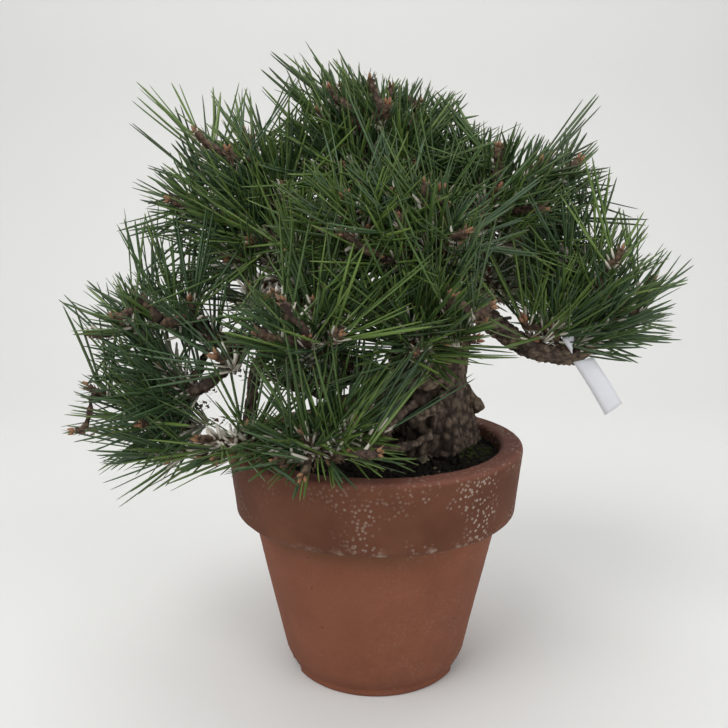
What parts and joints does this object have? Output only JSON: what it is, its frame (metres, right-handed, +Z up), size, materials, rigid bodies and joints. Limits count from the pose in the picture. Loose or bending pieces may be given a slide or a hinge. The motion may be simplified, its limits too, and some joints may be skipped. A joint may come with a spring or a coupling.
{
  "type": "japanese black pine bonsai",
  "caption": "A small pine bonsai with a short stout trunk, low spreading boughs and open tufts of long needles, in an old terracotta pot filled with soil.",
  "frame": {"origin": "on the pot's axis, at the level of the surface that the pot stands on", "axes": "+X to the right as the picture shows it, +Y away from the front, +Z up"},
  "size_m": [0.3063, 0.198, 0.3015],
  "materials": {
    "terracotta": "unglazed, weathered, with pale mineral specks and dark stains",
    "soil": "damp dark grit with a little moss",
    "bark": "rough scaly pine bark",
    "needles": "smooth stiff needles, slightly glossy",
    "wire": "dull brown-grey",
    "tag": "satin white, blank"
  },
  "bodies": {
    "root": {"pot": "terracotta", "soil": "soil", "trunk": "bark", "right_bough": "bark", "left_bough": "bark", "left_low_bough": "bark", "hanging_bough": "bark", "front_stem": "bark", "front_left_bough": "bark", "front_right_bough": "bark", "low_front_bough": "bark", "leader": "bark", "crown_left_bough": "bark", "crown_right_bough": "bark", "crown_front_bough": "bark", "back_bough": "bark", "back_right_bough": "bark", "back_left_bough": "bark", "low_back_bough": "bark", "crown_top": "needles", "crown_left": "needles", "crown_right": "needles", "crown_front": "needles", "left_mid": "needles", "left_low": "needles", "left_inner": "needles", "low_left_front": "needles", "front_left": "needles", "front_right": "needles", "low_front": "needles", "right_pad": "needles", "back_top": "needles", "back_left": "needles", "back_right": "needles", "low_back": "needles", "right_wire": "wire", "front_wire": "wire", "tag": "tag"}
  },
  "joints": []
}
